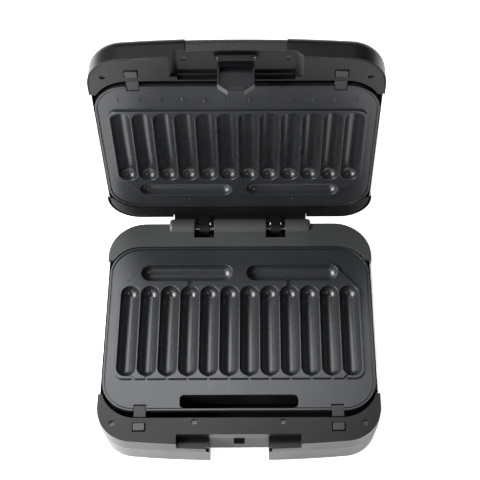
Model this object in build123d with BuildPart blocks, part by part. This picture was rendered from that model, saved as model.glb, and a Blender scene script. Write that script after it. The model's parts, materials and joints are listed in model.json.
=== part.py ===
from build123d import *
import os

# Stick donut maker, standing open. Millimetres, +Z up, -Y towards the user, +X to the user's right.
# The origin lies on the table, under the middle of the open appliance.
# "depth" is a distance in front of the hinge axis, "height" a distance above it.
# Lid pieces are modelled closed and swung open about the hinge axis when they are written.

os.makedirs("parts", exist_ok=True)

# ---- driving dimensions -------------------------------------------------------------------
HINGE_Y = 90.0  # hinge axis behind the origin
HINGE_Z = 44.0  # hinge axis above the table
OPEN_ANGLE = 93.5  # how far the lid stands open
PARTING = 7.1  # height of the plane where the two plates meet

HALF_WIDTH = 128.6  # half the width of the housings
BASE_REAR = -2.5
BASE_FRONT = 230.8
LID_REAR = 8.0
LID_FRONT = 235.3
BOW_RADIUS = 1190.0  # the front edges are slightly bowed in plan
REAR_CORNER = 36.0
BASE_FRONT_CORNER = 33.0
LID_REAR_CORNER = 30.0
LID_FRONT_CORNER = 32.0
LID_TOP = 37.0
LID_EDGE = 14.0  # rounding of the lid's upper edge
BASE_BOTTOM = -41.0
BASE_SPLIT = -11.0  # height of the seam between bottom shell and the parts above it
LID_SPLIT = 20.0
WALL = 3.0
FOOT_HEIGHT = 3.0
BEZEL_DROP = 1.5  # bezel faces stand this far back from the parting plane
FRONT_BLOCK = 184.0  # depth where the front bezels begin
REAR_BLOCK = 40.0  # depth where the rear covers end

# baking plates
PLATE_HALF = 125.5
PLATE_REAR = 25.4
PLATE_FRONT = 197.3
PLATE_CORNER = 29.5
PLATE_GAP = 0.2  # each plateau stands back this far from the parting plane
PLATEAU_RISE = 2.0
FLANGE = 3.0
FIELD_HALF = 115.6
FIELD_REAR = 43.6
FIELD_FRONT = 166.4
FIELD_CHAMFER_X = 26.5
FIELD_CHAMFER_Y = 29.0
FIELD_CORNER = 9.0
BAR_PITCH = 19.0
BAR_RADIUS = 8.75
BAR_COUNT = 12
BAR_REAR = 69.1
BAR_FRONT = 163.7
CROSS_DEPTH = 54.6  # depth of the two crosswise bars
CROSS_INNER = 6.9
CROSS_OUTER = 95.0
BAR_WALL = 2.0
LIP = 0.45  # rounding of the cavities' mouths
SLOT_HALF = 53.9
SLOT_REAR = 181.9
SLOT_FRONT = 194.7
WELL_FRONT = 204.3  # depth of the front bezels' inner edge

# plate catches and their buttons
CATCH_X = 89.6
CATCH_TRAVEL = 5.0
NOTCH_REAR = 191.2
NOTCH_HALF = 5.8
BUTTON_DEPTH = 213.3
BUTTON_TRAVEL = 3.0

# hinge
BARREL_RADIUS = 9.7
BARREL_HALF = 70.0
SLOT_INNER = 25.6  # the arms' slots in the rear cover
SLOT_OUTER = 45.2
SLOT_DEPTH = 14.1
ARM_X = 35.4
ARM_WIDTH = 10.0
KNUCKLE_RADIUS = 6.5
PIN_RADIUS = 2.5
PIN_PLAY = 0.05
BLOCK_HALF = 66.0

# grip recesses and latch
RECESS_HALF = 56.0  # the base's grip recess
RECESS_STEP = 220.3
RECESS_FACE = 57.0  # the lid's, at its face and at its roof
RECESS_ROOF = 50.5
CENTRE_HALF = 26.8
LID_RECESS_TOP = 15.5
LATCH_HALF = 15.6
LATCH_BACK = 220.9
LATCH_FACE = 226.2
LATCH_AXIS_DEPTH = 229.0
LATCH_AXIS_HEIGHT = 12.0
LATCH_PIN_RADIUS = 1.5

HINGE_AXIS = Axis((0, HINGE_Y, HINGE_Z), (1, 0, 0))


# ---- places and shared outlines -----------------------------------------------------------
def at(x, depth, height):
    """The point at a place given from the hinge axis."""
    return (x, HINGE_Y - depth, HINGE_Z + height)


def level(height):
    """A horizontal sketch plane whose origin lies on the hinge axis' vertical plane."""
    return Plane(origin=(0, HINGE_Y, HINGE_Z + height))


def slab(x_low, x_high, depth_low, depth_high, low, high):
    """A rectangular block between two corners given from the hinge axis."""
    centre = at((x_low + x_high) / 2, (depth_low + depth_high) / 2, (low + high) / 2)
    return Pos(*centre) * Box(x_high - x_low, depth_high - depth_low, high - low, mode=Mode.PRIVATE)


def both(shape):
    """A shape with its mirror image on the other side of the middle plane."""
    return shape + mirror(shape, Plane.YZ, mode=Mode.PRIVATE)


def mirrored(shape):
    """A base piece turned over into the lid."""
    return mirror(shape, level(PARTING), mode=Mode.PRIVATE)


def rounded(half, rear, front, rear_corner, front_corner, height):
    """A rectangle in plan with round corners."""
    with BuildSketch(level(height)) as outline:
        with Locations((0, -(rear + front) / 2)):
            Rectangle(2 * half, front - rear)
        fillet(outline.vertices().sort_by(Axis.Y)[-2:], rear_corner)
        fillet(outline.vertices().sort_by(Axis.Y)[:2], front_corner)
    return outline.sketch


def bowed(half, rear, front, rear_corner, front_corner, height):
    """The same with its front edge bowed outwards, its middle at the given depth."""
    side = front - half ** 2 / (2 * BOW_RADIUS)
    with BuildSketch(level(height)) as outline:
        with BuildLine():
            Polyline((half, -side), (half, -rear), (-half, -rear), (-half, -side))
            ThreePointArc((-half, -side), (0, -front), (half, -side))
        make_face()
        fillet(outline.vertices().sort_by(Axis.Y)[-2:], rear_corner)
        fillet(outline.vertices().sort_by(Axis.Y)[:2], front_corner)
    return outline.sketch


def base_outline(inset, height):
    """The base's plan, drawn in by an inset."""
    return bowed(
        HALF_WIDTH - inset, BASE_REAR + inset, BASE_FRONT - inset,
        REAR_CORNER - inset, BASE_FRONT_CORNER - inset, height,
    )


def lid_outline(inset, height):
    """The lid's plan, drawn in by an inset."""
    return bowed(
        HALF_WIDTH - inset, LID_REAR + inset, LID_FRONT - inset,
        LID_REAR_CORNER - inset, LID_FRONT_CORNER - inset, height,
    )


def lid_body(inset):
    """The lid as a solid block with its upper edge rounded, drawn in by an inset."""
    bottom = PARTING + BEZEL_DROP
    with BuildPart() as body:
        extrude(lid_outline(inset, bottom), amount=LID_TOP - inset - bottom)
        fillet(body.faces().sort_by(Axis.Z)[-1].edges(), LID_EDGE - inset)
    return body.part


def plate_outline(inset, height):
    """The baking plates' plan, drawn in by an inset."""
    return rounded(
        PLATE_HALF - inset, PLATE_REAR + inset, PLATE_FRONT - inset,
        PLATE_CORNER - inset, PLATE_CORNER - inset, height,
    )


def well(height, rise):
    """The space that a plate sits in, with the gutter in front of it."""
    margin = 1.0
    outline = rounded(
        PLATE_HALF + margin, PLATE_REAR - margin, WELL_FRONT,
        PLATE_CORNER + margin, PLATE_CORNER + 4, height,
    )
    return extrude(outline, amount=rise, mode=Mode.PRIVATE)


# ---- baking plates ------------------------------------------------------------------------
def field_outline(height):
    """The raised field: its hinge-side corners are cut off, its front corners are round."""
    with BuildSketch(level(height)) as field:
        with BuildLine():
            Polyline(
                (-FIELD_HALF, -FIELD_FRONT),
                (FIELD_HALF, -FIELD_FRONT),
                (FIELD_HALF, -FIELD_REAR - FIELD_CHAMFER_Y),
                (FIELD_HALF - FIELD_CHAMFER_X, -FIELD_REAR),
                (-FIELD_HALF + FIELD_CHAMFER_X, -FIELD_REAR),
                (-FIELD_HALF, -FIELD_REAR - FIELD_CHAMFER_Y),
                close=True,
            )
        make_face()
        fillet(field.vertices().sort_by(Axis.Y)[:2], FIELD_CORNER)
        fillet(field.vertices().sort_by(Axis.Y)[-4:], 4)
    return field.sketch


def bar(x_low, x_high, depth_low, depth_high, radius, height):
    """One bar: a round rod with round ends that just touches the given limits."""
    start = Vector(at(x_low, depth_low, height))
    end = Vector(at(x_high, depth_high, height))
    along = (end - start).normalized()
    length = (end - start).length
    rod = Plane(origin=start, z_dir=along) * Cylinder(
        radius, length, align=(Align.CENTER, Align.CENTER, Align.MIN), mode=Mode.PRIVATE
    )
    ball = Sphere(radius, mode=Mode.PRIVATE)
    return rod + Pos(*start) * ball + Pos(*end) * ball


def bars(radius, height):
    """All the bars of one plate, at the cavities' size or grown to the metal around them."""
    shapes = []
    for index in range(BAR_COUNT):
        x = (index - (BAR_COUNT - 1) / 2) * BAR_PITCH
        shapes.append(bar(x, x, BAR_REAR + BAR_RADIUS, BAR_FRONT - BAR_RADIUS, radius, height))
    for side in (-1, 1):
        inner = side * (CROSS_INNER + BAR_RADIUS)
        outer = side * (CROSS_OUTER - BAR_RADIUS)
        shapes.append(bar(inner, outer, CROSS_DEPTH, CROSS_DEPTH, radius, height))
    return shapes


def is_mouth(edge):
    """Whether an edge of the plateau belongs to a cavity, and not to the plateau's own outline."""
    x = abs(edge.center().X)
    depth = HINGE_Y - edge.center().Y
    beyond_chamfer = (x - FIELD_HALF + FIELD_CHAMFER_X) / FIELD_CHAMFER_X
    beyond_chamfer -= (depth - FIELD_REAR) / FIELD_CHAMFER_Y
    inside = FIELD_REAR + 1.5 < depth < FIELD_FRONT - 1.5 and x < FIELD_HALF - 0.9
    return inside and beyond_chamfer < -0.004


def baking_plate():
    """A plate facing up, with its plateau just under the parting plane."""
    top = PARTING - PLATE_GAP
    flange_top = top - PLATEAU_RISE
    flange_low = flange_top - FLANGE
    rim_inset = 2.6
    with BuildPart() as plate:
        extrude(plate_outline(0, flange_low), amount=FLANGE)
        # the rim bead, with a groove inside it
        extrude(plate_outline(0, flange_top), amount=0.6)
        extrude(plate_outline(rim_inset - 0.9, flange_top), amount=0.6, mode=Mode.SUBTRACT)
        groove = plate_outline(rim_inset - 0.9, flange_top) - plate_outline(rim_inset, flange_top)
        extrude(groove, amount=-0.9, mode=Mode.SUBTRACT)
        extrude(field_outline(flange_low), amount=FLANGE + PLATEAU_RISE)
        add(bars(BAR_RADIUS + BAR_WALL, top))
        split(bisect_by=level(top), keep=Keep.BOTTOM)
        add(bars(BAR_RADIUS, top), mode=Mode.SUBTRACT)
        # soften the cavities' mouths
        lips = plate.faces().filter_by(Plane.XY).group_by(Axis.Z)[-1].edges()
        fillet(lips.filter_by(is_mouth), LIP)
        # catch notches, with a thin tab left for the catch to hold
        for side in (-1, 1):
            x = side * CATCH_X
            notch = slab(
                x - NOTCH_HALF, x + NOTCH_HALF, NOTCH_REAR, PLATE_FRONT + 1, flange_low + 1, top
            )
            add(notch, mode=Mode.SUBTRACT)
        # locating tongues under the rear edge
        for side in (-1, 1):
            x = side * 60.0
            add(slab(x - 9, x + 9, PLATE_REAR + 4, PLATE_REAR + 7, flange_low - 4, flange_low))
    return plate.part


def vents(top):
    """Narrow steam channels at the front of each bar, and two more behind."""
    half = 1.2
    low = top - 1.9
    channels = []
    for index in range(1, BAR_COUNT - 1):
        x = (index - (BAR_COUNT - 1) / 2) * BAR_PITCH
        channels.append(slab(x - half, x + half, BAR_FRONT - 4, FIELD_FRONT + 1, low, top + 1))
    for side in (-1, 1):
        # the outermost two slant towards the middle
        x = side * ((BAR_COUNT - 1) / 2 * BAR_PITCH - 4.2)
        middle = Pos(*at(x, BAR_FRONT - 0.5, (low + top + 1) / 2))
        channel = Box(2 * half, 12, top + 1 - low, mode=Mode.PRIVATE)
        channels.append(middle * Rot(0, 0, -side * 45) * channel)
        x = side * 2.5 * BAR_PITCH
        channels.append(
            slab(x - 2, x + 2, CROSS_DEPTH + BAR_RADIUS - 2.5, BAR_REAR + 2.5, top - 2.6, top + 1)
        )
    return channels


with BuildPart() as lower_plate:
    add(baking_plate())
    add(vents(PARTING - PLATE_GAP), mode=Mode.SUBTRACT)
    # lifting slot in front of the bars
    with BuildSketch(level(-6)) as lifting_slot:
        with Locations((0, -(SLOT_REAR + SLOT_FRONT) / 2)):
            Rectangle(2 * SLOT_HALF, SLOT_FRONT - SLOT_REAR)
        fillet(lifting_slot.vertices(), 4)
    extrude(amount=20, mode=Mode.SUBTRACT)
lower_plate.part.label = "lower_plate"

with BuildPart() as upper_plate:
    add(mirrored(baking_plate()))
upper_plate.part.label = "upper_plate"


# ---- screws -------------------------------------------------------------------------------
SCREW_HEAD = 2.3  # radius
SCREW_HEAD_HEIGHT = 1.6
SCREW_SHANK = 1.1  # radius
SCREW_LENGTH = 4.5
SCREW_SINK = 3.0  # the heads' undersides lie this far under the bezels' faces
BASE_SCREWS = ((-113.9, 209.5), (-40.0, 208.4), (40.0, 208.4), (113.9, 209.5))
LID_CORNER_SCREWS = ((-114.4, 209.5), (114.4, 209.5))
LID_RECESS_SCREWS = ((-44.6, 224.6), (44.6, 224.6))


def screw():
    """A pan-head screw pointing down, with the underside of its head at the origin."""
    with BuildPart() as body:
        Cylinder(SCREW_HEAD, SCREW_HEAD_HEIGHT, align=(Align.CENTER, Align.CENTER, Align.MIN))
        Cylinder(SCREW_SHANK, SCREW_LENGTH, align=(Align.CENTER, Align.CENTER, Align.MAX))
        with Locations((0, 0, SCREW_HEAD_HEIGHT)):
            Box(3.0, 0.7, 1.4, mode=Mode.SUBTRACT)
            Box(0.7, 3.0, 1.4, mode=Mode.SUBTRACT)
    return body.part


def screw_hole(sink):
    """The counterbored hole for one screw, with the face it opens in at the origin."""
    with BuildPart() as hole:
        Cylinder(SCREW_HEAD + 0.3, 2 * sink)
        Cylinder(SCREW_SHANK + 0.1, 2 * (sink + SCREW_LENGTH))
    return hole.part


# ---- base ---------------------------------------------------------------------------------
BEZEL_TOP = PARTING - BEZEL_DROP
TAPER = 4.0
NOTCH_WALL = 3.0
SHELL_HEIGHT = BASE_SPLIT - BASE_BOTTOM
POSTS = ((-95, 50), (95, 50), (-95, 172), (95, 172))

with BuildPart() as shell_hollow:
    extrude(base_outline(WALL, BASE_SPLIT), amount=-(SHELL_HEIGHT - WALL), taper=TAPER)
    centre_wall = slab(
        -CENTRE_HALF - NOTCH_WALL, CENTRE_HALF + NOTCH_WALL,
        RECESS_STEP - 5.5 - NOTCH_WALL, BASE_FRONT + 5, BASE_BOTTOM - 5, BASE_SPLIT + 5,
    )
    add(centre_wall, mode=Mode.SUBTRACT)

with BuildPart() as base_shell:
    extrude(base_outline(0, BASE_SPLIT), amount=-SHELL_HEIGHT, taper=TAPER)
    fillet(base_shell.faces().sort_by(Axis.Z)[0].edges(), 5)
    add(
        slab(-CENTRE_HALF, CENTRE_HALF, RECESS_STEP - 5.5, 260, BASE_BOTTOM - 5, 0),
        mode=Mode.SUBTRACT,
    )
    add(shell_hollow.part, mode=Mode.SUBTRACT)
    # posts that carry the reflector
    for x, depth in POSTS:
        with Locations(at(x, depth, BASE_BOTTOM + WALL)):
            Cylinder(5, 19, align=(Align.CENTER, Align.CENTER, Align.MIN))
    # hole for the cord gland
    with Locations(Location(at(-76, BASE_REAR, -26), (90, 0, 0))):
        Cylinder(7, 20, mode=Mode.SUBTRACT)
    # cooling slots through the floor
    for column in range(-4, 5):
        x = column * 12
        add(slab(x - 1.5, x + 1.5, 90, 130, BASE_BOTTOM - 1, BASE_BOTTOM + 5), mode=Mode.SUBTRACT)
base_shell.part.label = "base_shell"

with BuildPart() as front_region:
    extrude(base_outline(0, BASE_SPLIT), amount=BEZEL_TOP - BASE_SPLIT)
    add(slab(-200, 200, -50, FRONT_BLOCK - 3, -60, 60), mode=Mode.SUBTRACT)
    add(well(-60, 120), mode=Mode.SUBTRACT)

with BuildPart() as front_hollow:
    extrude(base_outline(WALL, BASE_SPLIT), amount=BEZEL_TOP - WALL - BASE_SPLIT)
    add(slab(-200, 200, -50, WELL_FRONT + 2.5, -60, 60), mode=Mode.SUBTRACT)
    add(
        slab(-RECESS_HALF - 3, RECESS_HALF + 3, RECESS_STEP - 3, 260, -60, 60),
        mode=Mode.SUBTRACT,
    )

with BuildPart() as base_front_bezel:
    add(front_region.part)
    add(front_hollow.part, mode=Mode.SUBTRACT)
    # grip recess: a step down beside the latch, open in the middle
    add(slab(-RECESS_HALF, RECESS_HALF, RECESS_STEP, 260, -4, 20), mode=Mode.SUBTRACT)
    add(slab(-CENTRE_HALF, CENTRE_HALF, RECESS_STEP, 260, -60, 20), mode=Mode.SUBTRACT)
    add(
        slab(-CENTRE_HALF - 3, CENTRE_HALF + 3, RECESS_STEP - 5.5, 260, -60, -3),
        mode=Mode.SUBTRACT,
    )
    add(both(slab(CENTRE_HALF, CENTRE_HALF + 3, RECESS_STEP - 3, 228.5, BASE_SPLIT, -4)))
    for side in (-1, 1):
        x = side * CATCH_X
        # button well and catch pocket
        add(slab(x - 6.0, x + 6.0, BUTTON_DEPTH - 4.3, BUTTON_DEPTH + 4.3, -9, 20), mode=Mode.SUBTRACT)
        add(slab(x - 6.6, x + 6.6, WELL_FRONT - 1, 209.0, -2, PARTING - 2.0), mode=Mode.SUBTRACT)
    for x, depth in BASE_SCREWS:
        add(Pos(*at(x, depth, BEZEL_TOP)) * screw_hole(SCREW_SINK), mode=Mode.SUBTRACT)
base_front_bezel.part.label = "base_front_bezel"

COVER_TOP = PARTING - 0.9
with BuildPart() as rear_hollow:
    extrude(base_outline(WALL, BASE_SPLIT), amount=COVER_TOP - WALL - BASE_SPLIT)
    add(slab(-200, 200, PLATE_REAR - 3.5, 300, -60, 60), mode=Mode.SUBTRACT)

with BuildPart() as barrel:
    with Locations(Location(at(0, 0, 0), (0, 90, 0))):
        Cylinder(BARREL_RADIUS, 2 * BARREL_HALF)
    fillet(barrel.edges().filter_by(GeomType.CIRCLE), 3)

with BuildPart() as base_rear_cover:
    extrude(base_outline(0, BASE_SPLIT), amount=COVER_TOP - BASE_SPLIT)
    fillet(base_rear_cover.faces().sort_by(Axis.Z)[-1].edges(), 1.5)
    add(slab(-200, 200, REAR_BLOCK, 300, -60, 60), mode=Mode.SUBTRACT)
    add(rear_hollow.part, mode=Mode.SUBTRACT)
    add(well(-60, 120), mode=Mode.SUBTRACT)
    add(barrel.part)
    for side in (-1, 1):
        inner, outer = sorted((side * SLOT_INNER, side * SLOT_OUTER))
        add(slab(inner, outer, -30, SLOT_DEPTH, -9, 30), mode=Mode.SUBTRACT)
        # a low wall closes the slot's back beside and under the arm
        x = side * ARM_X
        half = ARM_WIDTH / 2 + 0.6
        add(slab(inner - 2, outer + 2, -9.6, -7.4, -9.6, -3))
        add(slab(x - half, x + half, -12, -7, -7.9, 0), mode=Mode.SUBTRACT)
    with Locations(Location(at(0, 0, 0), (0, 90, 0))):
        Cylinder(PIN_RADIUS + PIN_PLAY, 2 * (SLOT_OUTER + 8), mode=Mode.SUBTRACT)
base_rear_cover.part.label = "base_rear_cover"

with BuildPart() as base_side_trims:
    trim = slab(
        PLATE_HALF + 1.1, HALF_WIDTH - 1.0, REAR_BLOCK + 0.2, FRONT_BLOCK - 3.2,
        BASE_SPLIT, PARTING - 2.6,
    )
    add(both(trim))
base_side_trims.part.label = "base_side_trims"

FRAME_TOP = PARTING - PLATE_GAP - PLATEAU_RISE - FLANGE
with BuildPart() as lower_frame:
    ring = plate_outline(0.5, FRAME_TOP - 2.0) - plate_outline(6.5, FRAME_TOP - 2.0)
    extrude(ring, amount=2.0)
    for side in (-1, 1):
        add(slab(side * 60.0 - 9.5, side * 60.0 + 9.5, 28.9, 33, -10, 20), mode=Mode.SUBTRACT)
    # room under the lifting slot
    add(slab(-SLOT_HALF - 2, SLOT_HALF + 2, 180, SLOT_FRONT + 0.6, -10, 20), mode=Mode.SUBTRACT)
lower_frame.part.label = "lower_frame"


TRAY_FRONT = 180.8


def reflector(low, high):
    """A pressed steel tray under the heating element."""
    with BuildPart() as tray:
        extrude(rounded(118.0, 34.0, TRAY_FRONT, 22, 22, low), amount=high - low)
        inside = rounded(117.0, 35.0, TRAY_FRONT - 1, 21, 21, low + 1)
        extrude(inside, amount=high - low, mode=Mode.SUBTRACT)
    return tray.part


def heater(height):
    """A sheathed element bent into a U, with its two cold ends."""
    with BuildPart() as element:
        with BuildLine() as route:
            FilletPolyline(
                at(-22, 44, height), at(-104, 44, height), at(-104, 172, height),
                at(104, 172, height), at(104, 44, height), at(22, 44, height),
                radius=16,
            )
        with BuildSketch(Plane(origin=route.line @ 0, z_dir=route.line % 0)):
            Circle(3.3)
        sweep()
        for side in (-1, 1):
            with Locations(Location(at(side * 15, 44, height), (0, 90, 0))):
                Cylinder(1.6, 15)
    return element.part


HEATER_HEIGHT = -7.6
with BuildPart() as lower_heater:
    add(heater(HEATER_HEIGHT))
lower_heater.part.label = "lower_heater"

TRAY_LOW = BASE_BOTTOM + WALL + 19
with BuildPart() as lower_reflector:
    add(reflector(TRAY_LOW, -0.3))
lower_reflector.part.label = "lower_reflector"

with BuildPart() as lower_thermostat:
    with Locations(at(0, 100, TRAY_LOW + 1)):
        Cylinder(9, 7, align=(Align.CENTER, Align.CENTER, Align.MIN))
        Cylinder(7, 8.5, align=(Align.CENTER, Align.CENTER, Align.MIN))
    add(slab(-14, 14, 97, 103, TRAY_LOW + 1, TRAY_LOW + 2.2))
lower_thermostat.part.label = "lower_thermostat"

with BuildPart() as thermal_fuse:
    with Locations(Location(at(40, 60, -30), (0, 90, 0))):
        Cylinder(2.4, 14)
        Cylinder(0.6, 40)
thermal_fuse.part.label = "thermal_fuse"

with BuildPart() as terminal_block:
    add(slab(-52, -12, 20, 32, BASE_BOTTOM + WALL, BASE_BOTTOM + WALL + 13))
    for x in (-44, -32, -20):
        with Locations(at(x, 26, BASE_BOTTOM + WALL + 13)):
            Cylinder(2.6, 8, mode=Mode.SUBTRACT)
terminal_block.part.label = "terminal_block"

with BuildPart() as cord_gland:
    with Locations(Location(at(-76, BASE_REAR + 4, -26), (90, 0, 0))):
        Cylinder(6.9, 16)
    with Locations(Location(at(-76, BASE_REAR - 4.0, -26), (90, 0, 0))):
        Cylinder(8.6, 4)
    fillet(cord_gland.edges().sort_by(Axis.Y)[-1], 1.2)
    with Locations(Location(at(-76, BASE_REAR, -26), (90, 0, 0))):
        Cylinder(3.6, 60, mode=Mode.SUBTRACT)
cord_gland.part.label = "cord_gland"

with BuildPart() as feet:
    for x in (-92, 92):
        for depth in (24, 186):
            with Locations(at(x, depth, BASE_BOTTOM - FOOT_HEIGHT)):
                Cone(8, 9, FOOT_HEIGHT, align=(Align.CENTER, Align.CENTER, Align.MIN))
feet.part.label = "feet"


with BuildPart() as base_screws:
    for x, depth in BASE_SCREWS:
        add(Pos(*at(x, depth, BEZEL_TOP - SCREW_SINK)) * screw())
base_screws.part.label = "base_screws"

with BuildPart() as hinge_pins:
    for side in (-1, 1):
        with Locations(Location(at(side * ARM_X, 0, 0), (0, 90, 0))):
            Cylinder(PIN_RADIUS, SLOT_OUTER - SLOT_INNER + 14)
hinge_pins.part.label = "hinge_pins"

with BuildPart() as latch_keeper:
    add(slab(-14, 14, RECESS_STEP - 5.5, RECESS_STEP - 4.2, -22, -13))
    add(slab(-5, 5, RECESS_STEP - 4.3, LATCH_BACK - 0.4, -20.2, -17.2))
    fillet(latch_keeper.faces().sort_by(Axis.Y)[0].edges().filter_by(Axis.X), 0.8)
latch_keeper.part.label = "latch_keeper"


def plate_catch(side):
    """A sliding catch whose nose lies over the plate's tab."""
    x = side * CATCH_X
    tab_top = FRAME_TOP + 1
    with BuildPart() as catch:
        add(slab(x - 5.4, x + 5.4, PLATE_FRONT + 0.6, WELL_FRONT - 0.8, -1.4, tab_top + 2.0))
        add(slab(x - 4.9, x + 4.9, NOTCH_REAR + 1.3, PLATE_FRONT + 0.6, tab_top + 0.3, tab_top + 2.0))
        fillet(catch.faces().sort_by(Axis.Y)[0].edges().sort_by(Axis.Z)[-1], 0.8)
    return catch.part


def button(side):
    """A release button standing a little out of its bezel."""
    x = side * CATCH_X
    with BuildPart() as cap:
        add(slab(x - 5.3, x + 5.3, BUTTON_DEPTH - 3.7, BUTTON_DEPTH + 3.7, -4, BEZEL_TOP + 1.25))
        fillet(cap.edges().filter_by(Axis.Z), 1.6)
        fillet(cap.faces().sort_by(Axis.Z)[-1].edges(), 0.5)
    return cap.part


with BuildPart() as lower_left_catch:
    add(plate_catch(-1))
lower_left_catch.part.label = "lower_left_catch"

with BuildPart() as lower_right_catch:
    add(plate_catch(1))
lower_right_catch.part.label = "lower_right_catch"

with BuildPart() as lower_left_button:
    add(button(-1))
lower_left_button.part.label = "lower_left_button"

with BuildPart() as lower_right_button:
    add(button(1))
lower_right_button.part.label = "lower_right_button"


# ---- lid, modelled closed -----------------------------------------------------------------
LID_FACE = PARTING + BEZEL_DROP
GRIP_HALF = 43.5
GRIP_DEEP = 2.0
RECESS_SINK = 2.4
FLANGE_INSET = 1.2

def lid_inside(inset, low, high):
    """The room inside the lid's wall, between two heights."""
    return extrude(lid_outline(inset, low), amount=high - low, mode=Mode.PRIVATE)


def lid_recess(grow, rear, low=0.0):
    """The grip recess under the lid's front edge: its ends slant, its roof has round corners."""
    face = PARTING + BEZEL_DROP
    slope = (RECESS_FACE - RECESS_ROOF) / (LID_RECESS_TOP - face)
    wide = RECESS_FACE + slope * (face - low) + grow
    with BuildSketch(Plane(origin=at(0, rear, 0), x_dir=(1, 0, 0), z_dir=(0, -1, 0))) as profile:
        with BuildLine():
            Polyline(
                (-wide, low), (wide, low), (RECESS_ROOF + grow, LID_RECESS_TOP),
                (-RECESS_ROOF - grow, LID_RECESS_TOP), close=True,
            )
        make_face()
        fillet(profile.vertices().sort_by(Axis.Z)[-2:], 2.5)
    return extrude(profile.sketch, amount=60, mode=Mode.PRIVATE)


with BuildPart() as grip_pocket:
    add(lid_body(0))
    add(lid_body(GRIP_DEEP), mode=Mode.SUBTRACT)
    add(slab(-GRIP_HALF, GRIP_HALF, 208, 250, LID_RECESS_TOP - 1, 60), mode=Mode.INTERSECT)

with BuildPart() as lid_shell:
    add(lid_body(0))
    add(lid_body(WALL), mode=Mode.SUBTRACT)
    # the sides between the front and rear blocks are left to the trims
    side_gap = slab(120, 140, REAR_BLOCK, FRONT_BLOCK + 3, 0, LID_SPLIT)
    add(both(side_gap), mode=Mode.SUBTRACT)
    # front edge raised over the grip recess
    add(lid_recess(0, 215), mode=Mode.SUBTRACT)
    # rebate for the front bezel's flange
    add(lid_inside(FLANGE_INSET - 0.1, LID_FACE - 1, LID_FACE + 2.6), mode=Mode.SUBTRACT)
    # shallow pocket for the grip panel
    add(grip_pocket.part, mode=Mode.SUBTRACT)
    # lamp holes in the top
    for x in (-9, 9):
        with Locations(at(x, 190, LID_TOP)):
            Cylinder(3.0, 12, mode=Mode.SUBTRACT)
    # the rear wall opens for the hinge block
    add(slab(-BLOCK_HALF, BLOCK_HALF, 0, LID_REAR + 5, 0, 30), mode=Mode.SUBTRACT)
lid_shell.part.label = "lid_shell"

with BuildPart() as lid_grip_panel:
    add(lid_body(1.0))
    add(lid_body(GRIP_DEEP), mode=Mode.SUBTRACT)
    add(
        slab(-GRIP_HALF + 0.2, GRIP_HALF - 0.2, 208.3, 250, LID_RECESS_TOP, 60),
        mode=Mode.INTERSECT,
    )
lid_grip_panel.part.label = "lid_grip_panel"


with BuildPart() as lid_front_hollow:
    add(lid_inside(WALL + 2.6, LID_FACE + 3, LID_SPLIT))
    add(slab(-200, 200, -50, WELL_FRONT + 2.5, -60, 60), mode=Mode.SUBTRACT)
    add(slab(-RECESS_HALF - 4, RECESS_HALF + 4, 205, 260, -60, 60), mode=Mode.SUBTRACT)

with BuildPart() as lid_front_flange:
    add(lid_inside(FLANGE_INSET, LID_FACE, LID_FACE + 2.5))
    fillet(lid_front_flange.faces().sort_by(Axis.Z)[0].edges(), 0.9)

with BuildPart() as lid_front_bezel:
    add(lid_inside(WALL + 0.1, LID_FACE + 1, LID_SPLIT - 2))
    add(lid_front_flange.part)
    add(slab(-200, 200, -50, FRONT_BLOCK + 3, -60, 60), mode=Mode.SUBTRACT)
    add(well(-60, 120), mode=Mode.SUBTRACT)
    add(lid_front_hollow.part, mode=Mode.SUBTRACT)
    # grip recess with a stepped rear end, and two lugs for the latch pin
    add(lid_recess(0, 209.5), mode=Mode.SUBTRACT)
    add(
        slab(-RECESS_ROOF, RECESS_ROOF, WELL_FRONT + 1.6, 210, 0, LID_RECESS_TOP - 3),
        mode=Mode.SUBTRACT,
    )
    for side in (-1, 1):
        inner, outer = sorted((side * (LATCH_HALF + 0.6), side * (LATCH_HALF + 3.2)))
        add(
            slab(inner, outer, LATCH_AXIS_DEPTH - 3, LATCH_AXIS_DEPTH + 0.9, LATCH_AXIS_HEIGHT - 3,
                 LID_RECESS_TOP)
        )
        x = side * CATCH_X
        add(slab(x - 6.0, x + 6.0, BUTTON_DEPTH - 4.3, BUTTON_DEPTH + 4.3, 0, 30), mode=Mode.SUBTRACT)
        add(
            slab(x - 6.6, x + 6.6, WELL_FRONT - 1, 209.0, PARTING + 2.0, 2 * PARTING + 2),
            mode=Mode.SUBTRACT,
        )
    with Locations(Location(at(0, LATCH_AXIS_DEPTH - 1, LATCH_AXIS_HEIGHT), (0, 90, 0))):
        Cylinder(LATCH_PIN_RADIUS, 2 * (LATCH_HALF + 6), mode=Mode.SUBTRACT)
    for x, depth in LID_CORNER_SCREWS:
        add(Pos(*at(x, depth, LID_FACE)) * screw_hole(SCREW_SINK), mode=Mode.SUBTRACT)
    for x, depth in LID_RECESS_SCREWS:
        add(Pos(*at(x, depth, LID_RECESS_TOP)) * screw_hole(RECESS_SINK), mode=Mode.SUBTRACT)
lid_front_bezel.part.label = "lid_front_bezel"

with BuildPart() as lid_rear_hollow:
    add(lid_inside(WALL + 2.6, LID_FACE + 2.7, LID_SPLIT))
    add(slab(-200, 200, PLATE_REAR - 3.5, 300, -60, 60), mode=Mode.SUBTRACT)

with BuildPart() as lid_rear_bezel:
    add(lid_inside(WALL + 0.1, LID_FACE - 0.3, LID_SPLIT - 2))
    add(slab(-200, 200, REAR_BLOCK, 300, -60, 60), mode=Mode.SUBTRACT)
    add(well(-60, 120), mode=Mode.SUBTRACT)
    add(lid_rear_hollow.part, mode=Mode.SUBTRACT)
    add(slab(-BLOCK_HALF, BLOCK_HALF, 0, LID_REAR + 5.2, 0, 60), mode=Mode.SUBTRACT)
lid_rear_bezel.part.label = "lid_rear_bezel"

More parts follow.
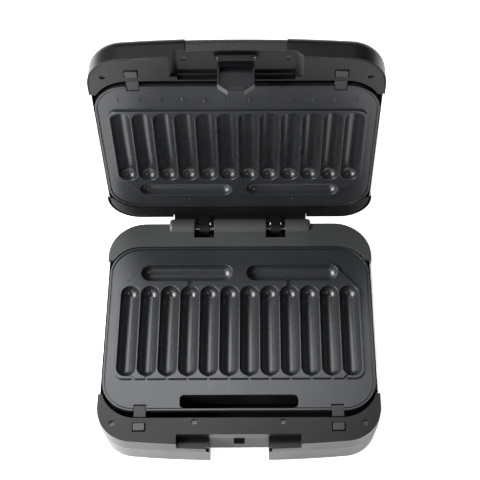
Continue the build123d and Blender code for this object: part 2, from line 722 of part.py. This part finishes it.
BLOCK_LOW = BARREL_RADIUS + 2.3
with BuildPart() as hinge_block:
    add(slab(-BLOCK_HALF + 0.2, BLOCK_HALF - 0.2, -8, LID_REAR + 5, BLOCK_LOW, 29.8))
    fillet(hinge_block.faces().sort_by(Axis.Y)[-1].edges().filter_by(Axis.X).sort_by(Axis.Z)[-1], 10)
    fillet(hinge_block.faces().sort_by(Axis.Y)[-1].edges().filter_by(Axis.X).sort_by(Axis.Z)[0], 2)
    for side in (-1, 1):
        x = side * ARM_X
        half = ARM_WIDTH / 2
        add(slab(x - half, x + half, -KNUCKLE_RADIUS, KNUCKLE_RADIUS, 0, BLOCK_LOW + 1))
        with Locations(Location(at(x, 0, 0), (0, 90, 0))):
            Cylinder(KNUCKLE_RADIUS, ARM_WIDTH)
            Cylinder(PIN_RADIUS + PIN_PLAY, ARM_WIDTH + 2, mode=Mode.SUBTRACT)
hinge_block.part.label = "hinge_block"

with BuildPart() as lid_side_trims:
    trim = slab(
        PLATE_HALF + 1.1, HALF_WIDTH - 1.0, REAR_BLOCK + 0.2, FRONT_BLOCK + 2.8,
        PARTING + 2.6, LID_SPLIT,
    )
    add(both(trim))
lid_side_trims.part.label = "lid_side_trims"


with BuildPart() as upper_frame:
    add(mirrored(lower_frame.part))
upper_frame.part.label = "upper_frame"

with BuildPart() as upper_heater:
    add(mirrored(heater(HEATER_HEIGHT)))
upper_heater.part.label = "upper_heater"

with BuildPart() as upper_reflector:
    add(mirrored(reflector(-13.5, -0.3)))
upper_reflector.part.label = "upper_reflector"

with BuildPart() as upper_thermostat:
    with Locations(at(0, 100, 19.2)):
        Cylinder(9, 7, align=(Align.CENTER, Align.CENTER, Align.MIN))
    add(slab(-14, 14, 97, 103, 26.2, 26.7))
upper_thermostat.part.label = "upper_thermostat"

with BuildPart() as power_lamp:
    with Locations(at(-9, 190, LID_TOP - WALL)):
        Cylinder(2.9, WALL + 1.0, align=(Align.CENTER, Align.CENTER, Align.MIN))
    fillet(power_lamp.faces().sort_by(Axis.Z)[-1].edges(), 0.9)
power_lamp.part.label = "power_lamp"

with BuildPart() as ready_lamp:
    with Locations(at(9, 190, LID_TOP - WALL)):
        Cylinder(2.9, WALL + 1.0, align=(Align.CENTER, Align.CENTER, Align.MIN))
    fillet(ready_lamp.faces().sort_by(Axis.Z)[-1].edges(), 0.9)
ready_lamp.part.label = "ready_lamp"

with BuildPart() as lid_screws:
    for x, depth in LID_CORNER_SCREWS:
        add(Pos(*at(x, depth, LID_FACE + SCREW_SINK)) * Rot(180, 0, 0) * screw())
    for x, depth in LID_RECESS_SCREWS:
        add(Pos(*at(x, depth, LID_RECESS_TOP + RECESS_SINK)) * Rot(180, 0, 0) * screw())
lid_screws.part.label = "lid_screws"

with BuildPart() as latch_pin:
    with Locations(Location(at(0, LATCH_AXIS_DEPTH - 1, LATCH_AXIS_HEIGHT), (0, 90, 0))):
        Cylinder(LATCH_PIN_RADIUS, 2 * (LATCH_HALF + 3.2))
latch_pin.part.label = "latch_pin"

LATCH_RIM_TOP = 6.7
LATCH_SHOULDER = -15.5
LATCH_TIP = -23.1
LATCH_HOLLOW = 4.0
TIP_HALF = 6.8
with BuildPart() as latch:
    with BuildSketch(Plane(origin=at(0, LATCH_BACK, 0), x_dir=(1, 0, 0), z_dir=(0, -1, 0))):
        with BuildLine():
            Polyline(
                (-LATCH_HALF, LATCH_RIM_TOP),
                (LATCH_HALF, LATCH_RIM_TOP),
                (LATCH_HALF, LATCH_SHOULDER),
                (TIP_HALF, LATCH_TIP),
                (-TIP_HALF, LATCH_TIP),
                (-LATCH_HALF, LATCH_SHOULDER),
                close=True,
            )
        make_face()
    extrude(amount=LATCH_FACE - LATCH_BACK)
    # hollow face inside a rim
    with BuildSketch(Plane(origin=at(0, LATCH_FACE, 0), x_dir=(1, 0, 0), z_dir=(0, -1, 0))):
        with BuildLine():
            Polyline(
                (-LATCH_HALF + 1.6, LATCH_RIM_TOP - 1.6),
                (LATCH_HALF - 1.6, LATCH_RIM_TOP - 1.6),
                (LATCH_HALF - 1.6, LATCH_SHOULDER + 0.9),
                (TIP_HALF - 0.6, LATCH_TIP + 1.6),
                (-TIP_HALF + 0.6, LATCH_TIP + 1.6),
                (-LATCH_HALF + 1.6, LATCH_SHOULDER + 0.9),
                close=True,
            )
        make_face()
    extrude(amount=-LATCH_HOLLOW, mode=Mode.SUBTRACT)
    # window for the keeper
    add(slab(-7.2, 7.2, LATCH_BACK, LATCH_BACK + 3.4, LATCH_TIP + 0.5, -14.4))
    add(slab(-5.6, 5.6, LATCH_BACK - 1, LATCH_FACE + 1, -21.3, -16.1), mode=Mode.SUBTRACT)
    # head that carries the pin
    add(slab(-LATCH_HALF, LATCH_HALF, LATCH_BACK, 230.6, LATCH_RIM_TOP, 14.0))
    with Locations(Location(at(0, LATCH_AXIS_DEPTH - 1, LATCH_AXIS_HEIGHT), (0, 90, 0))):
        Cylinder(LATCH_PIN_RADIUS + PIN_PLAY, 2 * LATCH_HALF + 2, mode=Mode.SUBTRACT)
latch.part.label = "latch"

with BuildPart() as upper_left_catch:
    add(mirrored(plate_catch(-1)))
upper_left_catch.part.label = "upper_left_catch"

with BuildPart() as upper_right_catch:
    add(mirrored(plate_catch(1)))
upper_right_catch.part.label = "upper_right_catch"

with BuildPart() as upper_left_button:
    add(mirrored(button(-1)))
upper_left_button.part.label = "upper_left_button"

with BuildPart() as upper_right_button:
    add(mirrored(button(1)))
upper_right_button.part.label = "upper_right_button"

# ---- writing ------------------------------------------------------------------------------
BASE_PIECES = (
    base_shell, base_front_bezel, base_rear_cover, base_side_trims, lower_frame, lower_plate,
    lower_heater, lower_reflector, lower_thermostat, thermal_fuse, terminal_block, cord_gland,
    feet, base_screws, hinge_pins, latch_keeper, lower_left_catch, lower_right_catch,
    lower_left_button, lower_right_button,
)
LID_PIECES = (
    lid_shell, lid_grip_panel, lid_front_bezel, lid_rear_bezel, hinge_block, lid_side_trims,
    upper_frame, upper_plate, upper_heater, upper_reflector, upper_thermostat, power_lamp,
    ready_lamp, lid_screws, latch_pin, latch, upper_left_catch, upper_right_catch,
    upper_left_button, upper_right_button,
)

for piece in BASE_PIECES:
    export_step(piece.part, f"parts/{piece.part.label}.step")

for piece in LID_PIECES:
    opened = piece.part.rotate(HINGE_AXIS, -OPEN_ANGLE)
    opened.label = piece.part.label
    export_step(opened, f"parts/{opened.label}.step")
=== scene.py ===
import json
import math

import bpy
from mathutils import Matrix, Vector


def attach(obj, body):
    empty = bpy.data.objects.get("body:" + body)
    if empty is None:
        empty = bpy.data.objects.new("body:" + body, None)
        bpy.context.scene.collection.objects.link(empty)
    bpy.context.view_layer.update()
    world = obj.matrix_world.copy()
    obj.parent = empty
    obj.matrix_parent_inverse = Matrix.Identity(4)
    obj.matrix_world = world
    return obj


# ---- placing -------------------------------------------------------------------------------
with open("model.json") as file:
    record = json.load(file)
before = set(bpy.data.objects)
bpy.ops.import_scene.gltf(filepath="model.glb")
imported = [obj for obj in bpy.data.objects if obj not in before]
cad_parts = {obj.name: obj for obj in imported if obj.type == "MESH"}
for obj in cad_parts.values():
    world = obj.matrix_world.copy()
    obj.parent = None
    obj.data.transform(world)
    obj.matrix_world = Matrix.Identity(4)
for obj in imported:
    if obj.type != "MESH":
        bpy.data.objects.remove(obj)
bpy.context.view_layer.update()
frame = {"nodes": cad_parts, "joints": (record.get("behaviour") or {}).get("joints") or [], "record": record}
nodes = frame["nodes"]
record = frame["record"]
joints = {joint["name"]: joint for joint in frame["joints"]}

# Lengths are in metres. The lid is modelled standing open, and its hinge's full range closes it.
hinge = Vector(joints["lid_hinge"]["pos_m"])
open_angle = math.radians(joints["lid_hinge"]["range_deg"][1])
into_lid = Vector((0, math.sin(open_angle), math.cos(open_angle)))
along_lid = Vector((0, -math.cos(open_angle), math.sin(open_angle)))


def on_lid(x, depth, height):
    """A place on the standing lid, given as it would be on the closed lid, from the hinge axis."""
    return hinge + Vector((x, 0, 0)) + along_lid * depth + into_lid * height


def put_in_scene(thing):
    bpy.context.scene.collection.objects.link(thing)


# ---- node helpers --------------------------------------------------------------------------
class Graph:
    """A material's node tree, with short calls for the nodes used here."""

    def __init__(self, name):
        self.material = bpy.data.materials.new(name)
        self.material.use_nodes = True
        self.tree = self.material.node_tree
        self.tree.nodes.clear()
        self.shader = self.tree.nodes.new("ShaderNodeBsdfPrincipled")
        output = self.tree.nodes.new("ShaderNodeOutputMaterial")
        self.link(self.shader.outputs["BSDF"], output.inputs["Surface"])
        self.place = self.tree.nodes.new("ShaderNodeTexCoord").outputs["Object"]

    def link(self, source, target):
        self.tree.links.new(source, target)

    def noise(self, scale, detail=3.0, roughness=0.55, stretch=(1, 1, 1)):
        mapping = self.tree.nodes.new("ShaderNodeMapping")
        mapping.inputs["Scale"].default_value = stretch
        self.link(self.place, mapping.inputs["Vector"])
        texture = self.tree.nodes.new("ShaderNodeTexNoise")
        texture.inputs["Scale"].default_value = scale
        texture.inputs["Detail"].default_value = detail
        texture.inputs["Roughness"].default_value = roughness
        self.link(mapping.outputs["Vector"], texture.inputs["Vector"])
        return texture.outputs["Fac"]

    def cells(self, scale, feature="F1"):
        texture = self.tree.nodes.new("ShaderNodeTexVoronoi")
        texture.feature = feature
        texture.inputs["Scale"].default_value = scale
        self.link(self.place, texture.inputs["Vector"])
        return texture.outputs["Distance"]

    def ramp(self, value, stops):
        """Turns a value into a colour, by stops of (position, colour)."""
        node = self.tree.nodes.new("ShaderNodeValToRGB")
        elements = node.color_ramp.elements
        while len(elements) < len(stops):
            elements.new(0.5)
        for element, (position, colour) in zip(elements, stops):
            element.position = position
            element.color = (*colour, 1)
        self.link(value, node.inputs["Fac"])
        return node.outputs["Color"]

    def span(self, value, low, high, from_low=0.3, from_high=0.7):
        """Stretches a value's range, by default a noise's usual one, to low and high."""
        node = self.tree.nodes.new("ShaderNodeMapRange")
        node.inputs["From Min"].default_value = from_low
        node.inputs["From Max"].default_value = from_high
        node.inputs["To Min"].default_value = low
        node.inputs["To Max"].default_value = high
        self.link(value, node.inputs["Value"])
        return node.outputs["Result"]

    def speckle(self, factor, ground, speck):
        """Mixes a plain colour for the specks into a ground colour that comes from a node."""
        node = self.tree.nodes.new("ShaderNodeMix")
        node.data_type = "RGBA"
        first, second = [s for s in node.inputs if s.type == "RGBA"]
        self.link(factor, node.inputs["Factor"])
        self.link(ground, first)
        second.default_value = (*speck, 1)
        return [s for s in node.outputs if s.type == "RGBA"][0]

    def rounded_edges(self, radius):
        """A normal that shades sharp edges as if they were rounded by a radius."""
        bevel = self.tree.nodes.new("ShaderNodeBevel")
        bevel.samples = 6
        bevel.inputs["Radius"].default_value = radius
        return bevel.outputs["Normal"]

    def bump(self, heights, bevel=0.0):
        """Chains bumps of (height, strength, distance), over rounded edges if a bevel is given."""
        normal = self.rounded_edges(bevel) if bevel else None
        for height, strength, distance in heights:
            node = self.tree.nodes.new("ShaderNodeBump")
            node.inputs["Strength"].default_value = strength
            node.inputs["Distance"].default_value = distance
            self.link(height, node.inputs["Height"])
            if normal is not None:
                self.link(normal, node.inputs["Normal"])
            normal = node.outputs["Normal"]
        self.link(normal, self.shader.inputs["Normal"])

    def finish(self, colour, roughness, metallic=0.0, specular=0.5, coat=0.0, coat_roughness=0.3):
        """Joins a colour to the shader, with a roughness that is a number or comes from a node."""
        inputs = self.shader.inputs
        self.link(colour, inputs["Base Color"])
        if isinstance(roughness, float):
            inputs["Roughness"].default_value = roughness
        else:
            self.link(roughness, inputs["Roughness"])
        inputs["Metallic"].default_value = metallic
        inputs["Specular IOR Level"].default_value = specular
        inputs["Coat Weight"].default_value = coat
        inputs["Coat Roughness"].default_value = coat_roughness
        return self.material


def shade(colour, factor):
    return tuple(channel * factor for channel in colour)


# ---- materials -----------------------------------------------------------------------------
def moulded_plastic(name, colour, roughness, grain=1600.0, depth=0.35, specular=0.45):
    """Spark-eroded moulded plastic: a fine even grain with faint cloudy gloss changes."""
    g = Graph(name)
    cloud = g.noise(18.0, 2.0)
    fine = g.noise(grain, 2.0, 0.6)
    tone = g.ramp(cloud, ((0.35, shade(colour, 0.92)), (0.65, shade(colour, 1.1))))
    speck = g.speckle(g.span(fine, 0.0, 0.25), tone, shade(colour, 1.35))
    g.bump(((fine, depth, 0.00012), (cloud, 0.05, 0.0006)), bevel=0.00045)
    return g.finish(speck, g.span(cloud, roughness - 0.04, roughness + 0.05), specular=specular)


def pebbled_plastic(name, colour, roughness):
    """Coarse leather-like grain of the grip panel."""
    g = Graph(name)
    pebbles = g.cells(900.0, "SMOOTH_F1")
    fine = g.noise(2200.0, 2.0)
    tone = g.ramp(pebbles, ((0.1, shade(colour, 1.25)), (0.75, shade(colour, 0.7))))
    g.bump(((pebbles, 0.55, 0.0002), (fine, 0.15, 0.0001)), bevel=0.0004)
    return g.finish(tone, g.span(pebbles, roughness - 0.05, roughness + 0.1), specular=0.4)


def nonstick(name, colour, roughness):
    """Sprayed dark coating over die-cast metal: a tight sparkle and a slight orange peel."""
    g = Graph(name)
    peel = g.noise(420.0, 2.0, 0.5)
    grain = g.noise(2600.0, 1.0, 0.6)
    cloud = g.noise(14.0, 3.0)
    tone = g.ramp(cloud, ((0.3, shade(colour, 0.94)), (0.7, shade(colour, 1.07))))
    sparkle = g.speckle(g.span(grain, 0.0, 0.45, 0.42, 0.8), tone, shade(colour, 1.9))
    gloss = g.span(cloud, roughness - 0.03, roughness + 0.04)
    g.bump(((grain, 0.28, 0.00008), (peel, 0.10, 0.00015)), bevel=0.0004)
    return g.finish(sparkle, gloss, metallic=0.45, specular=0.6)


def brushed_metal(name, colour, roughness, stretch=(1, 18, 1)):
    """Metal with drawn lines along one direction."""
    g = Graph(name)
    lines = g.noise(1400.0, 4.0, 0.7, stretch=tuple(1.0 / s for s in stretch))
    cloud = g.noise(30.0, 2.0)
    tone = g.ramp(lines, ((0.3, shade(colour, 0.86)), (0.7, shade(colour, 1.08))))
    g.bump(((lines, 0.12, 0.00006),), bevel=0.0003)
    return g.finish(tone, g.span(cloud, roughness - 0.05, roughness + 0.08), metallic=1.0)


def rubber(name, colour):
    """Matt rubber with some dust on it."""
    g = Graph(name)
    dust = g.noise(60.0, 4.0, 0.6)
    fine = g.noise(1800.0, 2.0)
    tone = g.ramp(dust, ((0.35, colour), (0.75, shade(colour, 1.7))))
    g.bump(((fine, 0.3, 0.0001),), bevel=0.0003)
    return g.finish(tone, g.span(dust, 0.72, 0.85), specular=0.3)


def ceramic(name, colour):
    """A pale body with a fine grain and faint clouds."""
    g = Graph(name)
    cloud = g.noise(90.0, 3.0)
    fine = g.noise(900.0, 2.0)
    tone = g.ramp(cloud, ((0.3, shade(colour, 0.9)), (0.7, shade(colour, 1.05))))
    g.bump(((fine, 0.15, 0.0001),), bevel=0.0003)
    return g.finish(tone, g.span(cloud, 0.45, 0.6))


def lens(name, colour):
    """A translucent lamp lens with fine prisms inside."""
    g = Graph(name)
    prisms = g.cells(700.0)
    tone = g.ramp(prisms, ((0.0, shade(colour, 1.5)), (0.6, shade(colour, 0.55))))
    g.bump(((prisms, 0.1, 0.0002),))
    g.shader.inputs["Transmission Weight"].default_value = 0.25
    return g.finish(tone, 0.14, coat=0.6, coat_roughness=0.08)


def floor_paint(name):
    """A nearly white floor that glows, which keeps it plain under soft light."""
    g = Graph(name)
    cloud = g.noise(3.0, 2.0)
    tone = g.ramp(cloud, ((0.3, (0.88, 0.88, 0.88)), (0.7, (0.9, 0.9, 0.9))))
    g.shader.inputs["Emission Color"].default_value = (1, 1, 1, 1)
    g.shader.inputs["Emission Strength"].default_value = 0.85
    return g.finish(tone, 0.9, specular=0.1)


HOUSING = (0.004, 0.004, 0.004)
COVER = (0.03, 0.031, 0.031)
GRIP = (0.012, 0.012, 0.012)
LATCH = (0.004, 0.004, 0.005)
BUTTON = (0.012, 0.012, 0.013)
COATING = (0.028, 0.029, 0.032)
ALONG_X = (12, 1, 1)

materials = {
    "housing_plastic": moulded_plastic("housing_plastic", HOUSING, 0.34, specular=0.3),
    "cover_plastic": moulded_plastic("cover_plastic", COVER, 0.42, grain=1100.0),
    "grip_plastic": pebbled_plastic("grip_plastic", GRIP, 0.5),
    "latch_plastic": moulded_plastic("latch_plastic", LATCH, 0.3, depth=0.15, specular=0.3),
    "button_plastic": moulded_plastic("button_plastic", BUTTON, 0.3, depth=0.2),
    "nonstick_plate": nonstick("nonstick_plate", COATING, 0.27),
    "trim_metal": brushed_metal("trim_metal", (0.75, 0.76, 0.78), 0.35),
    "sheet_steel": brushed_metal("sheet_steel", (0.07, 0.07, 0.07), 0.5),
    "element_steel": brushed_metal("element_steel", (0.3, 0.27, 0.24), 0.5),
    "catch_steel": brushed_metal("catch_steel", (0.05, 0.05, 0.052), 0.4, stretch=ALONG_X),
    "screw_steel": brushed_metal("screw_steel", (0.08, 0.08, 0.082), 0.3, stretch=(1, 1, 1)),
    "pin_steel": brushed_metal("pin_steel", (0.6, 0.6, 0.62), 0.25, stretch=ALONG_X),
    "switch_plastic": ceramic("switch_plastic", (0.7, 0.67, 0.6)),
    "black_rubber": rubber("black_rubber", (0.02, 0.02, 0.02)),
    "red_lens": lens("red_lens", (0.45, 0.02, 0.015)),
    "green_lens": lens("green_lens", (0.02, 0.3, 0.05)),
}

for part in record["subparts"]:
    mesh = nodes[part["node"]].data
    mesh.materials.clear()
    mesh.materials.append(materials[part["material_slot"]])

# ---- raised numbers on the upper plate -----------------------------------------------------
BAR_PITCH = 0.019
BAR_NUMBERS = ("1", "3", "5", "7", "9", "11", "12", "10", "8", "6", "4", "2")
BAR_NUMBER_DEPTH = 0.1793
BAR_NUMBER_SIZE = 0.0062
CROSS_NUMBERS = {"13": -0.050, "14": 0.050}
CROSS_NUMBER_DEPTH = 0.0367
CROSS_NUMBER_SIZE = 0.0052
FLANGE_HEIGHT = 0.0093
NUMBER_RELIEF = 0.0006
NUMBER_BEVEL = 0.0002


def raised_number(text, x, depth, size):
    """Raised figures that read upright on the standing lid."""
    name = "number_" + text
    curve = bpy.data.curves.new(name, "FONT")
    curve.body = text
    curve.size = size
    curve.align_x = "CENTER"
    curve.align_y = "CENTER"
    curve.extrude = NUMBER_RELIEF
    curve.bevel_depth = NUMBER_BEVEL
    curve.bevel_resolution = 1
    outline = bpy.data.objects.new(name + "_outline", curve)
    put_in_scene(outline)
    bpy.context.view_layer.update()
    depsgraph = bpy.context.evaluated_depsgraph_get()
    mesh = bpy.data.meshes.new_from_object(outline.evaluated_get(depsgraph))
    bpy.data.objects.remove(outline)
    mesh.name = name
    upright = Matrix(((1, 0, 0), along_lid, -into_lid)).transposed().to_4x4()
    mesh.transform(Matrix.Translation(on_lid(x, depth, FLANGE_HEIGHT)) @ upright)
    mesh.materials.clear()
    mesh.materials.append(materials["nonstick_plate"])
    figure = bpy.data.objects.new(name, mesh)
    put_in_scene(figure)
    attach(figure, "lid")


for place, number in enumerate(BAR_NUMBERS):
    from_middle = place - (len(BAR_NUMBERS) - 1) / 2
    raised_number(number, from_middle * BAR_PITCH, BAR_NUMBER_DEPTH, BAR_NUMBER_SIZE)
for number, x in CROSS_NUMBERS.items():
    raised_number(number, x, CROSS_NUMBER_DEPTH, CROSS_NUMBER_SIZE)

# ---- floor ---------------------------------------------------------------------------------
FLOOR_HALF = 6
FLOOR_DROP = 0.0005

corners = [(-1, -1), (1, -1), (1, 1), (-1, 1)]
floor_mesh = bpy.data.meshes.new("floor")
floor_mesh.from_pydata(
    [(x * FLOOR_HALF, y * FLOOR_HALF, -FLOOR_DROP) for x, y in corners], [], [(0, 1, 2, 3)]
)
floor = bpy.data.objects.new("floor", floor_mesh)
put_in_scene(floor)
floor_mesh.materials.append(floor_paint("floor_paint"))

# ---- lights --------------------------------------------------------------------------------
WORLD_STRENGTH = 0.07
WARM = (1.0, 0.92, 0.8)

world = bpy.data.worlds.new("studio")
world.use_nodes = True
background = world.node_tree.nodes["Background"]
background.inputs["Color"].default_value = (1, 1, 1, 1)
background.inputs["Strength"].default_value = WORLD_STRENGTH
bpy.context.scene.world = world


def softbox(name, place, target, size, power, colour=(1, 1, 1)):
    """A rectangular light that faces its target: its size is (width, height), its power in watts."""
    light = bpy.data.lights.new(name, "AREA")
    light.shape = "RECTANGLE"
    light.size, light.size_y = size
    light.energy = power
    light.color = colour
    lamp = bpy.data.objects.new(name, light)
    lamp.location = place
    lamp.rotation_euler = (Vector(target) - Vector(place)).to_track_quat("-Z", "Y").to_euler()
    put_in_scene(lamp)


softbox("left_softbox", (-1.5, -0.25, 1.2), (0, 0, 0.1), (1.6, 1.2), 110)
softbox("back_softbox", (-0.5, 1.25, 2.6), (0, 0, 0.1), (1.6, 1.0), 34)
softbox("front_softbox", (-0.9, -1.9, 1.0), (0, 0, 0.15), (1.2, 0.9), 12)
softbox("right_glint", (1.2, -1.6, 2.0), (0, 0, 0.15), (0.3, 0.3), 8, WARM)

# ---- camera --------------------------------------------------------------------------------
CAMERA_FROM_HINGE = Vector((0.0179, -0.6042, 0.9587))
CAMERA_PITCH = math.radians(58.36)
CAMERA_YAW = math.radians(0.16)
CAMERA_ROLL = math.radians(-0.36)
SENSOR_WIDTH_MM = 36.0
FOCAL_LENGTH_MM = 85.155
SHIFT_X = -0.0342

yawed = Matrix.Rotation(CAMERA_YAW, 3, "Z")
forward = yawed @ Vector((0, math.cos(CAMERA_PITCH), -math.sin(CAMERA_PITCH)))
level_right = yawed @ Vector((1, 0, 0))
level_up = yawed @ Vector((0, math.sin(CAMERA_PITCH), math.cos(CAMERA_PITCH)))
right = level_right * math.cos(CAMERA_ROLL) + level_up * math.sin(CAMERA_ROLL)
up = level_up * math.cos(CAMERA_ROLL) - level_right * math.sin(CAMERA_ROLL)
facing = Matrix((right, up, -forward)).transposed().to_4x4()

optics = bpy.data.cameras.new("camera")
optics.sensor_width = SENSOR_WIDTH_MM
optics.lens = FOCAL_LENGTH_MM
optics.shift_x = SHIFT_X
camera = bpy.data.objects.new("camera", optics)
camera.matrix_world = Matrix.Translation(hinge + CAMERA_FROM_HINGE) @ facing
put_in_scene(camera)
bpy.context.scene.camera = camera
bpy.context.scene.view_settings.view_transform = "Standard"
